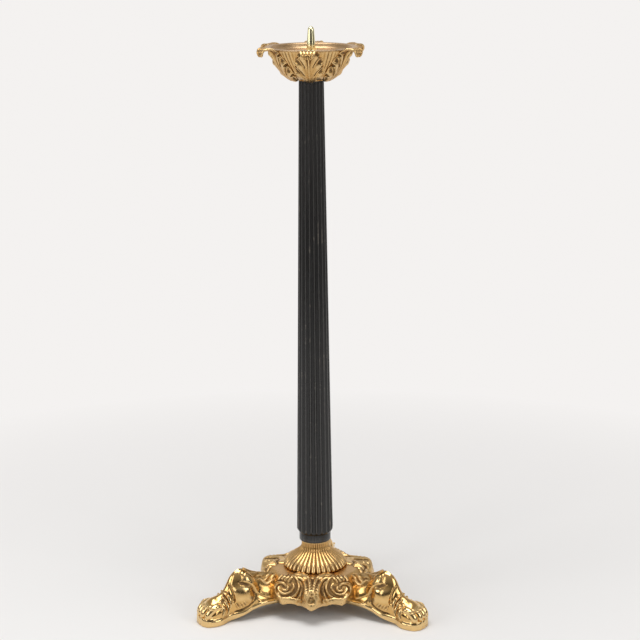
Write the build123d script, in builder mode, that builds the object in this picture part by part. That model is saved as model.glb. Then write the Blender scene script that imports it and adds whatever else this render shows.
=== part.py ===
from build123d import *
import os
from math import atan2, cos, degrees, pi, sin

# A tall candlestick with a spike for one pillar candle. Three cast legs ending in
# paws are screwed under a cast plate, and a tie rod pulls the plate, the bell-shaped
# collar, the fluted column, the leaf cup and the drip pan together.
# Origin: the column's axis at floor level. +Z is up and the front side faces -Y.
# What repeats around the axis is drawn along +X and then turned to its places.

# the stack, from the floor up
plate_top = 49.5
collar_height = 32.2
column_length = 557.1
cup_height = 36.7
pan_lip_gap = 0.3
spike_length = 28.0

# fits
slip_fit = 0.15
leg_fit = 0.2
rod_clearance = 0.3

# tie rod, its nut and washer
rod_diameter = 6.0
nut_across_flats = 10.0
nut_height = 5.2
washer_diameter = 18.0
washer_thickness = 1.6
rod_stick_out = 3.0
rod_end_chamfer = 0.7
spike_thread_depth = 14.0

# plate: a hollow hub with a lobe and two scrolls on each side, and a leaf over each leg
leg_count = 3
hub_top_side = 45.0
hub_top_end = 50.0
hub_top_corner = 9.0
hub_low_side = 61.0
hub_low_end = 62.5
hub_low_corner = 14.0
skirt_bottom = 20.2
skirt_height = 5.8
plate_wall = 4.0
deck_thickness = 8.5
pilot_height = 1.2
pilot_radius = 25.0
lobe_root = 32.0
lobe_reach = 80.0
lobe_shoulder = 75.5
lobe_shoulder_height = 41.2
lobe_half_width = 9.0
lobe_lip_height = 10.8
lobe_foot_reach = 66.0
lobe_foot_half_width = 16.5
scroll_radius = 13.0
scroll_step = 3.1
scroll_arcs = 4
scroll_bead = 1.7
scroll_lift = 0.5
scroll_spread = 29.0
leaf_thickness = 2.2

# legs
leg_wall = 3.2
flange_proud = 1.2
tab_inner = 26.0
tab_half_width = 8.5
tab_thickness = 5.0
screw_diameter = 5.0
screw_head_diameter = 8.5
screw_head_height = 3.0
screw_length = 11.0
screw_radii = (33.0, 45.0)
paw_half_width = 20.0
paw_heel = 128.0
paw_pad_height = 10.5
toe_count = 4
toe_radius = 5.7
toe_reach = 158.5
toe_setback = 0.022

# collar
collar_rim_radius = 38.3
collar_gadroons = 36
collar_rim_gap = 1.1
collar_foot_radius = 33.0
collar_shell = 4.0
gadroon_depth = 0.045

# column
column_foot_radius = 21.7
column_head_radius = 14.5
neck_radius = 18.9
neck_height = 10.0
neck_round = 1.4
flute_runout = 4.6
flutes = 20
flute_share = 0.72
flute_depth = 1.9
column_foot_bore_radius = 12.5
column_head_bore_radius = 8.5
spigot_length = 9.0
spigot_end_gap = 1.0

# cup, with its leaves
cup_seat_radius = 15.6
cup_seat_height = 1.6
cup_foot_radius = 19.0
cup_waist_radius = 39.2
cup_waist_height = 13.6
cup_rim_radius = 50.4
cup_wall = 2.6
cup_boss_radius = 13.0
cup_leaves = 6
leaf_relief = 2.2
leaf_back = 1.6

# drip pan and spike
pan_rim_radius = 52.6
pan_wall_radius = 46.0
pan_floor_radius = 40.0
pan_depth = 6.6
pan_sheet = 1.2
spike_flange_radius = 8.0
spike_flange_height = 1.6
spike_foot_radius = 5.2
spike_shoulder_radius = 3.7
spike_point_height = 3.2
spike_tip_flat = 0.5

# levels and radii that follow
collar_top = plate_top + collar_height
column_top = collar_top + column_length
cup_top = column_top + cup_height
pan_rim = cup_top + pan_lip_gap + pan_sheet
pan_floor = pan_rim - pan_depth
spike_base = pan_floor + spike_flange_height
deck_underside = plate_top - deck_thickness
hub_low = skirt_bottom + skirt_height
rod_bore_radius = rod_diameter / 2 + rod_clearance
flute_foot = collar_top + neck_height + flute_runout
leg_turns = [90 + 360 / leg_count * index for index in range(leg_count)]

os.makedirs("parts", exist_ok=True)


def write_part(piece, name):
    """Label a finished piece and write it to its own file."""
    piece.part.label = name
    export_step(piece.part, f"parts/{name}.step")


# leg stations: distance from the axis, ridge height, lower edge height, half width
leg_stations = (
    (50.0, 46.4, 15.6, 13.2),
    (58.0, 47.9, 15.3, 13.4),
    (66.0, 49.5, 15.3, 13.5),
    (74.0, 51.1, 15.4, 13.8),
    (82.0, 53.2, 15.2, 14.4),
    (89.5, 56.4, 12.6, 15.2),
    (96.0, 60.2, 9.9, 15.7),
    (101.5, 61.2, 7.8, 15.6),
    (106.5, 59.8, 6.0, 14.8),
    (111.0, 56.8, 4.5, 13.2),
    (114.7, 52.2, 3.2, 11.8),
    (118.0, 45.8, 2.1, 10.9),
    (121.5, 39.4, 1.2, 11.1),
    (126.0, 34.6, 0.4, 13.0),
    (132.0, 32.0, 0.0, 15.6),
    (139.0, 30.2, 0.0, 17.2),
    (146.0, 25.6, 0.0, 16.4),
)
hollow_first, hollow_last = 1, 11


def leg_section(station, grow=0.0):
    """Section across the leg: a flange at the lower edge, and sides that close in a rounded ridge."""
    reach, ridge, low, half = station
    flange_top = low + skirt_height
    height = ridge - flange_top
    side = half + grow
    flank = [
        (-side, flange_top + grow),
        (-1.02 * side, flange_top + 0.28 * height),
        (-0.84 * side, flange_top + 0.64 * height + 0.5 * grow),
        (-0.42 * side, flange_top + 0.93 * height + 0.9 * grow),
    ]
    mirrored = [(-y, z) for y, z in reversed(flank)]
    flange = side + flange_proud
    with BuildSketch(Plane(origin=(reach, 0, 0), x_dir=(0, 1, 0), z_dir=(1, 0, 0))) as section:
        with BuildLine():
            Spline(*flank, (0, ridge + grow), *mirrored)
            Polyline(
                mirrored[-1],
                (flange, flange_top + grow),
                (flange, low - grow),
                (-flange, low - grow),
                (-flange, flange_top + grow),
                flank[0],
            )
        make_face()
    return section.sketch


def leg_blank(grow=0.0):
    """The solid body of a leg, lofted through its stations and grown by an even margin."""
    with BuildPart() as blank:
        loft([leg_section(station, grow) for station in leg_stations])
    return blank.part


def inner_section(station):
    """Section of the hollow under the leg, one wall inside the outline and open below."""
    reach, ridge, low, half = station
    side = half - leg_wall
    crown = ridge - 1.3 * leg_wall
    with BuildSketch(Plane(origin=(reach, 0, 0), x_dir=(0, 1, 0), z_dir=(1, 0, 0))) as section:
        with BuildLine():
            Spline(
                (-side, low - skirt_height),
                (-side, low + skirt_height),
                (0, crown),
                (side, low + skirt_height),
                (side, low - skirt_height),
            )
            Line((side, low - skirt_height), (-side, low - skirt_height))
        make_face()
    return section.sketch


def toe_solid(across, reach):
    """One curled toe: circles lofted along a path that rises over the knuckle and turns down."""
    path = (
        (reach - 26.0, 18.0, 0.80),
        (reach - 17.0, 23.5, 1.06),
        (reach - 9.0, 22.6, 1.08),
        (reach - 4.2, 17.0, 0.92),
        (reach - toe_radius, paw_pad_height - 3.0, 0.86),
    )
    circles = []
    for index, (along, height, share) in enumerate(path):
        before = path[max(index - 1, 0)]
        after = path[min(index + 1, len(path) - 1)]
        heading = (after[0] - before[0], 0, after[1] - before[1])
        plane = Plane(origin=(along, across, height), x_dir=(0, 1, 0), z_dir=heading)
        with BuildSketch(plane) as ring:
            Circle(share * toe_radius)
        circles.append(ring.sketch)
    with BuildPart() as toe:
        loft(circles)
    return toe.part


toe_pitch = 2 * (paw_half_width - toe_radius) / (toe_count - 1)
toe_places = []
for toe_index in range(toe_count):
    toe_across = (toe_index - (toe_count - 1) / 2) * toe_pitch
    toe_places.append((toe_across, toe_reach - toe_setback * toe_across**2))

with BuildPart() as leg_cavity:
    loft([inner_section(station) for station in leg_stations[hollow_first:hollow_last]])

with BuildPart() as leg:
    add(leg_blank())
    # the upright wall round the sole, with one round lobe for each toe
    with BuildSketch(Plane.XY):
        for across, reach in toe_places:
            start = Vector(paw_heel, 0.5 * across)
            end = Vector(reach - toe_radius, across)
            middle = (start + end) / 2
            turn = degrees(atan2((end - start).Y, (end - start).X))
            with Locations(middle):
                SlotCenterToCenter((end - start).length, 2 * toe_radius, rotation=turn)
    extrude(amount=paw_pad_height)
    for across, reach in toe_places:
        add(toe_solid(across, reach))
    add(leg_cavity.part, mode=Mode.SUBTRACT)
    # the flat tab that bears on the underside of the plate's deck
    with BuildSketch(Plane.XY.offset(deck_underside - tab_thickness)):
        with BuildLine():
            root = leg_stations[hollow_first][0]
            shoulder = tab_inner + tab_half_width / 2
            Line((root, tab_half_width), (shoulder, tab_half_width))
            ThreePointArc((shoulder, tab_half_width), (tab_inner, 0), (shoulder, -tab_half_width))
            Line((shoulder, -tab_half_width), (root, -tab_half_width))
            Line((root, -tab_half_width), (root, tab_half_width))
        make_face()
    extrude(amount=tab_thickness)
    # above the tab the root is cut level, to slip under the deck
    with BuildSketch(Plane.XY.offset(deck_underside)):
        with Locations(((tab_inner + root) / 2 - leg_fit, 0)):
            Rectangle(root - tab_inner, 4 * tab_half_width)
    extrude(amount=2 * deck_thickness, mode=Mode.SUBTRACT)
    with Locations([(radius, 0, deck_underside) for radius in screw_radii]):
        Hole(screw_diameter / 2 + slip_fit)
    # the sole is ground flat at floor level
    split(bisect_by=Plane.XY, keep=Keep.TOP)

leg_names = ("leg_back", "leg_left", "leg_right")
for name, turn in zip(leg_names, leg_turns):
    with BuildPart() as turned_leg:
        with Locations(Rotation(0, 0, turn)):
            add(leg.part)
    write_part(turned_leg, name)

with BuildPart() as leg_screws:
    for turn in leg_turns:
        for radius in screw_radii:
            head_plane = Plane.XY.rotated((0, 0, turn)).offset(deck_underside - tab_thickness)
            with BuildSketch(head_plane):
                with Locations((radius, 0)):
                    Circle(screw_head_diameter / 2)
            extrude(amount=-screw_head_height)
            with BuildSketch(head_plane):
                with Locations((radius, 0)):
                    Circle(screw_diameter / 2)
            extrude(amount=screw_length)
write_part(leg_screws, "leg_screws")


# plate


def hub_outline(side, end, corner, height):
    """Six sides with rounded corners: a long side between two legs, a short one over each leg."""
    along = (end - side * cos(pi / leg_count)) / sin(pi / leg_count)
    corners = []
    for turn in leg_turns:
        for way in (-along, along):
            corners.append(Vector(side, way).rotate(Axis.Z, turn + 180))
    with BuildSketch(Plane.XY.offset(height)) as outline:
        Polygon(*corners, align=None)
        fillet(outline.vertices(), corner)
    return outline.sketch


def hub_at(height, inset=0.0):
    """The hub's outline at a height on its sloping sides, drawn in by an inset."""
    share = (plate_top - height) / (plate_top - hub_low)
    side = hub_top_side + share * (hub_low_side - hub_top_side) - inset
    end = hub_top_end + share * (hub_low_end - hub_top_end) - inset
    corner = hub_top_corner + share * (hub_low_corner - hub_top_corner) - inset
    return hub_outline(side, end, corner, height)


def scroll_solid(side):
    """A round bead laid on the sloping face in a spiral of half circles."""
    rise = plate_top - hub_low
    run = hub_low_side - hub_top_side
    middle = ((hub_top_side + hub_low_side) / 2, side * scroll_spread, (plate_top + hub_low) / 2)
    face = Plane(origin=middle, x_dir=(0, 1, 0), z_dir=(rise, 0, run))
    with BuildPart() as scroll:
        with BuildLine(face.offset(scroll_lift)) as spiral:
            edge = -side * scroll_radius
            for _ in range(scroll_arcs):
                following = -edge / abs(edge) * (abs(edge) - scroll_step)
                centre = (edge + following) / 2
                bulge = (edge - following) / 2 * side
                ThreePointArc((edge, 0), (centre, bulge), (following, 0))
                edge = following
        with BuildSketch(Plane(origin=spiral.line @ 0, z_dir=spiral.line % 0)):
            Circle(scroll_bead)
        sweep()
    return scroll.part


with BuildPart() as leaf_cover:
    add(leg_blank(leaf_thickness))
    # side view of the leaf: two scallops below, and the tip on the knee
    with BuildSketch(Plane.XZ):
        with BuildLine():
            Polyline((44, 39), (44, 75), (99.5, 75), (99.5, 62.5))
            ThreePointArc((99.5, 62.5), (94.0, 58.5), (89.5, 50.5))
            ThreePointArc((89.5, 50.5), (85.0, 44.6), (77.0, 43.6))
            ThreePointArc((77.0, 43.6), (70.5, 36.6), (61.0, 38.6))
            Line((61.0, 38.6), (44, 39))
        make_face()
    extrude(amount=2 * paw_half_width, both=True, mode=Mode.INTERSECT)

with BuildPart() as hub_hollow:
    loft([hub_at(deck_underside, plate_wall), hub_at(hub_low, plate_wall)])
    extrude(hub_hollow.faces().sort_by(Axis.Z)[0], amount=skirt_height + 1)

lobe_low = skirt_bottom + lobe_lip_height
with BuildPart() as tripod_plate:
    loft([hub_at(plate_top), hub_at(hub_low)])
    extrude(tripod_plate.faces().sort_by(Axis.Z)[0], amount=skirt_height)
    for turn in leg_turns:
        side_plane = Plane.XZ.rotated((0, 0, turn + 180))
        # the lobe's sloping back, seen from the side
        with BuildSketch(side_plane):
            with BuildLine():
                Polyline(
                    (lobe_root, lobe_low),
                    (lobe_root, plate_top),
                    (collar_rim_radius, plate_top),
                )
                ThreePointArc(
                    (collar_rim_radius, plate_top),
                    (0.5 * (collar_rim_radius + lobe_shoulder), 0.5 * (plate_top + lobe_shoulder_height) - 1.2),
                    (lobe_shoulder, lobe_shoulder_height),
                )
                Polyline(
                    (lobe_shoulder, lobe_shoulder_height),
                    (lobe_shoulder + 2.0, lobe_low),
                    (lobe_root, lobe_low),
                )
            make_face()
        extrude(amount=lobe_half_width, both=True)
        # the lip round the foot of the lobe, drawn to a point in the middle
        with BuildSketch(Plane.XY.offset(skirt_bottom).rotated((0, 0, turn + 180))):
            with BuildLine():
                step = (lobe_reach + lobe_foot_reach) / 2
                Line((hub_low_side - plate_wall, -lobe_foot_half_width), (hub_low_side, -lobe_foot_half_width))
                ThreePointArc(
                    (hub_low_side, -lobe_foot_half_width),
                    (lobe_foot_reach, -0.82 * lobe_foot_half_width),
                    (lobe_foot_reach + 3.5, -0.62 * lobe_foot_half_width),
                )
                ThreePointArc(
                    (lobe_foot_reach + 3.5, -0.62 * lobe_foot_half_width),
                    (step + 2.6, -0.42 * lobe_foot_half_width),
                    (lobe_reach, 0),
                )
                mirror(about=Plane.XZ)
                Line(
                    (hub_low_side - plate_wall, lobe_foot_half_width),
                    (hub_low_side - plate_wall, -lobe_foot_half_width),
                )
            make_face()
        extrude(amount=lobe_lip_height)
    with PolarLocations(0, leg_count, start_angle=leg_turns[0] + 180):
        add([scroll_solid(side) for side in (-1, 1)])
    with PolarLocations(0, leg_count, start_angle=leg_turns[0]):
        add(leaf_cover.part)
    add(hub_hollow.part, mode=Mode.SUBTRACT)
    with PolarLocations(0, leg_count, start_angle=leg_turns[0]):
        add(leg_blank(leg_fit), mode=Mode.SUBTRACT)
    with Locations((0, 0, plate_top)):
        Cylinder(pilot_radius, pilot_height, align=(Align.CENTER, Align.CENTER, Align.MIN))
        Hole(rod_bore_radius)
    for radius in screw_radii:
        with PolarLocations(radius, leg_count, start_angle=leg_turns[0]):
            with Locations((0, 0, deck_underside)):
                Cylinder(
                    screw_diameter / 2,
                    screw_length - tab_thickness + slip_fit,
                    align=(Align.CENTER, Align.CENTER, Align.MIN),
                    mode=Mode.SUBTRACT,
                )
write_part(tripod_plate, "tripod_plate")


# collar


def gadroon_ring(radius, height):
    """A ring of equal round lobes, deeper where the ring is wide."""
    half_turn = 180 / collar_gadroons
    valley = radius * (1 - gadroon_depth)
    with BuildSketch(Plane.XY.offset(height)) as ring:
        with BuildLine():
            for index in range(collar_gadroons):
                middle = index * 360 / collar_gadroons
                ThreePointArc(
                    Vector(valley, 0).rotate(Axis.Z, middle - half_turn),
                    Vector(radius, 0).rotate(Axis.Z, middle),
                    Vector(valley, 0).rotate(Axis.Z, middle + half_turn),
                )
        make_face()
    return ring.sketch


# collar stations: share of the height, share of the rim radius
collar_stations = ((0.0, 1.0), (0.13, 0.985), (0.29, 0.88), (0.48, 0.68), (0.66, 0.50), (0.84, 0.435), (1.0, 0.43))
rim_level = plate_top + collar_rim_gap
bell_height = collar_top - rim_level
bell = [(collar_rim_radius * share, rim_level + bell_height * rise) for rise, share in collar_stations]

with BuildPart() as collar:
    loft([gadroon_ring(radius, height) for radius, height in bell])
    with BuildSketch(Plane.XY.offset(plate_top)):
        Circle(collar_foot_radius)
    extrude(amount=collar_rim_gap)
    # hollow from below, following the bell
    with BuildSketch(Plane.XZ):
        with BuildLine():
            mouth = pilot_radius + slip_fit
            crown = plate_top + 0.42 * collar_height
            Polyline((rod_bore_radius, crown), (0, crown), (0, plate_top), (mouth, plate_top))
            Line((mouth, plate_top), (mouth, rim_level + collar_shell))
            ThreePointArc(
                (mouth, rim_level + collar_shell),
                (0.75 * mouth, 0.6 * crown + 0.4 * rim_level),
                (rod_bore_radius, crown),
            )
        make_face()
    revolve(axis=Axis.Z, mode=Mode.SUBTRACT)
    with Locations((0, 0, collar_top)):
        Cylinder(
            column_foot_bore_radius - slip_fit, spigot_length, align=(Align.CENTER, Align.CENTER, Align.MIN)
        )
    with Locations((0, 0, collar_top + spigot_length)):
        Hole(rod_bore_radius)
write_part(collar, "collar")


# column


def column_radius(height):
    """Radius of the column's lands: a straight taper from the foot to the head."""
    share = (height - flute_foot) / (column_top - flute_foot)
    return column_foot_radius + share * (column_head_radius - column_foot_radius)


def flute_section(height):
    """Circle that cuts one flute of the right width and depth at a height."""
    radius = column_radius(height)
    half = flute_share * pi * radius / flutes
    depth = flute_depth * radius / column_foot_radius
    bend = (half**2 + depth**2) / (2 * depth)
    with BuildSketch(Plane.XY.offset(height)) as section:
        with Locations((radius - depth + bend, 0)):
            Circle(bend)
    return section.sketch


with BuildPart() as flute:
    loft([flute_section(collar_top + neck_height), flute_section(column_top + 1)], ruled=True)

with BuildPart() as column:
    with BuildSketch(Plane.XZ):
        with BuildLine():
            socket_depth = spigot_length + spigot_end_gap
            Polyline(
                (column_foot_bore_radius, collar_top),
                (neck_radius, collar_top),
                (neck_radius, collar_top + neck_height),
                (column_foot_radius, flute_foot),
                (column_head_radius, column_top),
                (column_head_bore_radius, column_top),
                (column_head_bore_radius, column_top - socket_depth),
                (column_foot_bore_radius, collar_top + socket_depth),
                close=True,
            )
        make_face()
    revolve(axis=Axis.Z)
    fillet(column.edges().filter_by(GeomType.CIRCLE).group_by(Axis.Z)[0].sort_by(SortBy.RADIUS)[-1], neck_round)
    with PolarLocations(0, flutes):
        add(flute.part, mode=Mode.SUBTRACT)
write_part(column, "column")


# cup

# leaf stations: distance from the axis, height above the cup's foot, half width
leaf_stations = (
    (22.0, 2.2, 4.0),
    (31.5, 5.8, 8.0),
    (39.6, 14.4, 11.0),
    (45.2, 25.0, 12.5),
    (49.4, 31.8, 12.2),
    (54.4, 34.4, 11.4),
    (58.8, 33.0, 10.2),
    (61.0, 29.6, 8.4),
    (60.8, 26.4, 6.0),
)


def leaf_sections():
    """Lens-shaped sections square to the leaf's path, from its root to the curled tip."""
    sections = []
    for index, (reach, rise, half) in enumerate(leaf_stations):
        before = leaf_stations[max(index - 1, 0)]
        after = leaf_stations[min(index + 1, len(leaf_stations) - 1)]
        heading = (after[0] - before[0], 0, after[1] - before[1])
        plane = Plane(origin=(reach, 0, column_top + rise), x_dir=(0, 1, 0), z_dir=heading)
        with BuildSketch(plane) as section:
            with BuildLine():
                ThreePointArc((-half, 0), (0, -leaf_relief), (half, 0))
                ThreePointArc((half, 0), (0, leaf_back), (-half, 0))
            make_face()
        sections.append(section.sketch)
    return sections


with BuildPart() as cup_leaf:
    loft(leaf_sections())

with BuildPart() as acanthus_cup:
    with BuildSketch(Plane.XZ):
        with BuildLine():
            foot = column_top + cup_seat_height
            waist = column_top + cup_waist_height
            inner_rim = cup_rim_radius - cup_wall
            boss_top = pan_floor - pan_sheet
            spigot_radius = column_head_bore_radius - slip_fit
            Polyline(
                (rod_bore_radius, column_top - spigot_length),
                (spigot_radius, column_top - spigot_length),
                (spigot_radius, column_top),
                (cup_seat_radius, column_top),
                (cup_seat_radius, foot),
                (cup_foot_radius, foot),
            )
            ThreePointArc((cup_foot_radius, foot), (cup_waist_radius, waist), (cup_rim_radius, cup_top))
            Line((cup_rim_radius, cup_top), (inner_rim, cup_top))
            ThreePointArc(
                (inner_rim, cup_top),
                (cup_waist_radius - 0.8 * cup_wall, waist + 0.8 * cup_wall),
                (cup_foot_radius, foot + cup_wall),
            )
            Polyline(
                (cup_foot_radius, foot + cup_wall),
                (cup_boss_radius, foot + cup_wall),
                (cup_boss_radius, boss_top),
                (rod_bore_radius, boss_top),
                (rod_bore_radius, column_top - spigot_length),
            )
        make_face()
    revolve(axis=Axis.Z)
    with PolarLocations(0, cup_leaves, start_angle=-90):
        add(cup_leaf.part)
    # the bowl stays open inside, so what the leaves push through it is cut away
    with BuildSketch(Plane.XZ):
        with BuildLine():
            ThreePointArc(
                (inner_rim, cup_top),
                (cup_waist_radius - 0.8 * cup_wall, waist + 0.8 * cup_wall),
                (cup_foot_radius, foot + cup_wall),
            )
            Polyline(
                (cup_foot_radius, foot + cup_wall),
                (cup_boss_radius, foot + cup_wall),
                (cup_boss_radius, cup_top + 1),
                (inner_rim, cup_top + 1),
                (inner_rim, cup_top),
            )
        make_face()
    revolve(axis=Axis.Z, mode=Mode.SUBTRACT)
write_part(acanthus_cup, "acanthus_cup")


# drip pan

with BuildPart() as drip_pan:
    with BuildSketch(Plane.XZ):
        with BuildLine():
            wall_out = pan_wall_radius + pan_sheet
            Polyline(
                (rod_bore_radius, pan_floor - pan_sheet),
                (pan_floor_radius, pan_floor - pan_sheet),
            )
            ThreePointArc(
                (pan_floor_radius, pan_floor - pan_sheet),
                (0.35 * pan_floor_radius + 0.65 * wall_out, pan_floor - 0.2 * pan_sheet),
                (wall_out, pan_floor + 0.6 * pan_depth),
            )
            Line((wall_out, pan_floor + 0.6 * pan_depth), (wall_out, pan_rim - pan_sheet))
            Line((wall_out, pan_rim - pan_sheet), (pan_rim_radius, pan_rim - pan_sheet))
            ThreePointArc(
                (pan_rim_radius, pan_rim - pan_sheet),
                (pan_rim_radius + pan_sheet / 2, pan_rim - pan_sheet / 2),
                (pan_rim_radius, pan_rim),
            )
            Line((pan_rim_radius, pan_rim), (pan_wall_radius + pan_sheet, pan_rim))
            ThreePointArc(
                (pan_wall_radius + pan_sheet, pan_rim),
                (pan_wall_radius + 0.3 * pan_sheet, pan_rim - 0.3 * pan_sheet),
                (pan_wall_radius, pan_rim - pan_sheet),
            )
            Line((pan_wall_radius, pan_rim - pan_sheet), (pan_wall_radius, pan_floor + 0.7 * pan_depth))
            ThreePointArc(
                (pan_wall_radius, pan_floor + 0.7 * pan_depth),
                (0.35 * pan_floor_radius + 0.65 * pan_wall_radius, pan_floor + 0.8 * pan_sheet),
                (pan_floor_radius, pan_floor),
            )
            Polyline(
                (pan_floor_radius, pan_floor),
                (rod_bore_radius, pan_floor),
                (rod_bore_radius, pan_floor - pan_sheet),
            )
        make_face()
    revolve(axis=Axis.Z)
write_part(drip_pan, "drip_pan")


# spike and tie rod

with BuildPart() as pricket:
    with BuildSketch(Plane.XZ):
        with BuildLine():
            tip = spike_base + spike_length
            shoulder_height = tip - spike_point_height
            Polyline(
                (0, pan_floor),
                (spike_flange_radius, pan_floor),
                (spike_flange_radius, spike_base),
                (spike_foot_radius, spike_base),
                (spike_shoulder_radius, shoulder_height),
            )
            ThreePointArc(
                (spike_shoulder_radius, shoulder_height),
                (0.66 * spike_shoulder_radius, shoulder_height + 0.66 * spike_point_height),
                (spike_tip_flat, tip),
            )
            Polyline((spike_tip_flat, tip), (0, tip), (0, pan_floor))
        make_face()
    revolve(axis=Axis.Z)
    with Locations((0, 0, pan_floor)):
        Cylinder(
            rod_diameter / 2,
            spike_thread_depth,
            align=(Align.CENTER, Align.CENTER, Align.MIN),
            mode=Mode.SUBTRACT,
        )
write_part(pricket, "pricket")

washer_low = deck_underside - washer_thickness
nut_low = washer_low - nut_height
rod_low = nut_low - rod_stick_out
rod_high = pan_floor + spike_thread_depth - rod_clearance

with BuildPart() as tie_rod:
    with Locations((0, 0, rod_low)):
        Cylinder(rod_diameter / 2, rod_high - rod_low, align=(Align.CENTER, Align.CENTER, Align.MIN))
    chamfer(tie_rod.edges().filter_by(GeomType.CIRCLE), rod_end_chamfer)
write_part(tie_rod, "tie_rod")

with BuildPart() as rod_washer:
    with BuildSketch(Plane.XY.offset(washer_low)):
        Circle(washer_diameter / 2)
        Circle(rod_bore_radius, mode=Mode.SUBTRACT)
    extrude(amount=washer_thickness)
write_part(rod_washer, "rod_washer")

with BuildPart() as rod_nut:
    with BuildSketch(Plane.XY.offset(nut_low)):
        RegularPolygon(nut_across_flats / 2, 6, major_radius=False)
        Circle(rod_diameter / 2, mode=Mode.SUBTRACT)
    extrude(amount=nut_height)
write_part(rod_nut, "rod_nut")
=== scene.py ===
import math

import bpy
import numpy as np
from mathutils import Matrix


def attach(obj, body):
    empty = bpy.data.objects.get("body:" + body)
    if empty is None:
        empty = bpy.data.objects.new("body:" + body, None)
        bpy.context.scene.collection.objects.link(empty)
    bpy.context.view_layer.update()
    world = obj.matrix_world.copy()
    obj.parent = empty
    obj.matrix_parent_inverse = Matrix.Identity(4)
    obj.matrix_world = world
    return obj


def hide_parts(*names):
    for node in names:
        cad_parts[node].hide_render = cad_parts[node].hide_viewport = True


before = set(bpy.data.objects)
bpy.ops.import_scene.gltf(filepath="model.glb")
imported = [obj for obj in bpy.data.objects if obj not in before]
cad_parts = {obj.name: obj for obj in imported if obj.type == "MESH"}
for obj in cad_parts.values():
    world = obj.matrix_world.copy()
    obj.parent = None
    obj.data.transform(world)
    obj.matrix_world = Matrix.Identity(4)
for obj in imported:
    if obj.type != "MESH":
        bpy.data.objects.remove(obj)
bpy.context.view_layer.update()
print("frame loaded,", len(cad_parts), "nodes")

# lengths in the shapes are millimetres and angles are degrees about the upright axis
millimetre = 0.001
legTurns = {"leg_back": 90, "leg_left": 210, "leg_right": 330}


def smoothLine(points, count):
    # Catmull-Rom curve through the points, sampled evenly in its parameter
    points = np.asarray(points, float)
    padded = np.vstack([2 * points[0] - points[1], points, 2 * points[-1] - points[-2]])
    place = np.linspace(0, len(points) - 1, count)
    index = np.minimum(place.astype(int), len(points) - 2)
    part = (place - index)[:, None]
    before, start, end, after = (padded[index + k] for k in range(4))
    bend = 2 * before - 5 * start + 4 * end - after
    twist = 3 * start - before - 3 * end + after
    return 0.5 * (2 * start + (end - before) * part + bend * part**2 + twist * part**3)


def smoothStep(low, high, value):
    # 0 at low, 1 at high, held level outside them, and the cubic 3 part^2 - 2 part^3 between
    part = np.clip((value - low) / (high - low), 0, 1)
    return part * part * (3 - 2 * part)


def softMax(first, second, width):
    # the larger of two heights, with a rounded corner of about this width
    share = np.clip(0.5 + 0.5 * (first - second) / width, 0, 1)
    return second + (first - second) * share + width * share * (1 - share)


def turned(points, degrees):
    # points turned about the upright axis
    cosine, sine = math.cos(math.radians(degrees)), math.sin(math.radians(degrees))
    x, y, z = points[..., 0], points[..., 1], points[..., 2]
    return np.stack([cosine * x - sine * y, sine * x + cosine * y, z], axis=-1)


def gridNormals(points):
    # unit normals of a grid: the cross product of its central differences along rows and columns
    normal = np.cross(np.gradient(points, axis=0), np.gradient(points, axis=1))
    return normal / np.maximum(np.linalg.norm(normal, axis=-1, keepdims=True), 1e-9)


def skin(points, closeRows=False):
    # a grid whose columns run round, as one closed skin: two triangles a cell, and either the last row joined
    # to the first or each end closed by a fan to its centre; a negative volume turns all the faces outwards
    rows, columns = points.shape[:2]
    row, column = np.meshgrid(np.arange(rows if closeRows else rows - 1), np.arange(columns), indexing="ij")
    nextRow, nextColumn = (row + 1) % rows, (column + 1) % columns
    near, nearNext = row * columns + column, row * columns + nextColumn
    far, farNext = nextRow * columns + column, nextRow * columns + nextColumn
    faces = [np.stack([near, nearNext, farNext], -1).reshape(-1, 3),
             np.stack([near, farNext, far], -1).reshape(-1, 3)]
    vertices = [points.reshape(-1, 3)]
    if not closeRows:
        centre, last = rows * columns, (rows - 1) * columns
        ring = np.arange(columns)
        following = (ring + 1) % columns
        vertices.append(np.stack([points[0].mean(0), points[-1].mean(0)]))
        faces.append(np.stack([following, ring, np.full(columns, centre)], -1))
        faces.append(np.stack([last + ring, last + following, np.full(columns, centre + 1)], -1))
    vertices, faces = np.concatenate(vertices), np.concatenate(faces)
    corner = vertices[faces]
    volume = (corner[:, 0] * np.cross(corner[:, 1], corner[:, 2])).sum()
    if volume < 0:
        faces = faces[:, ::-1]
    return vertices, faces


def joined(shells):
    # several shells of vertices and triangles as one
    starts = np.cumsum([0] + [len(vertices) for vertices, _ in shells[:-1]])
    return (np.concatenate([vertices for vertices, _ in shells]),
            np.concatenate([faces + start for (_, faces), start in zip(shells, starts)]))


def copied(shell, turns):
    # the same shell repeated at several turns about the upright axis
    vertices, faces = shell
    return joined([(turned(vertices, turn), faces) for turn in turns])


def hollowness(vertices, faces, passes):
    # how far each vertex lies under the mean of its neighbourhood, along its normal: above zero in recesses;
    # each pass takes the mean of the neighbours' means, so more passes look further round
    corner = vertices[faces]
    faceNormal = np.cross(corner[:, 1] - corner[:, 0], corner[:, 2] - corner[:, 0])
    count = len(vertices)
    normal = np.stack([sum(np.bincount(faces[:, k], faceNormal[:, axis], count) for k in range(3))
                       for axis in range(3)], -1)
    normal /= np.maximum(np.linalg.norm(normal, axis=1, keepdims=True), 1e-12)
    start = faces.ravel()
    end = np.roll(faces, -1, axis=1).ravel()
    weight = np.maximum(np.bincount(start, minlength=count) + np.bincount(end, minlength=count), 1)
    mean = vertices.copy()
    for _ in range(passes):
        mean = np.stack([(np.bincount(start, mean[end, axis], count)
                          + np.bincount(end, mean[start, axis], count)) / weight for axis in range(3)], -1)
    return ((mean - vertices) * normal).sum(1)


bandForm = {"samples": 7, "fullness": 2.2, "leastTaper": 0.12, "taperPower": 0.6, "roundness": 0.75}


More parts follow.
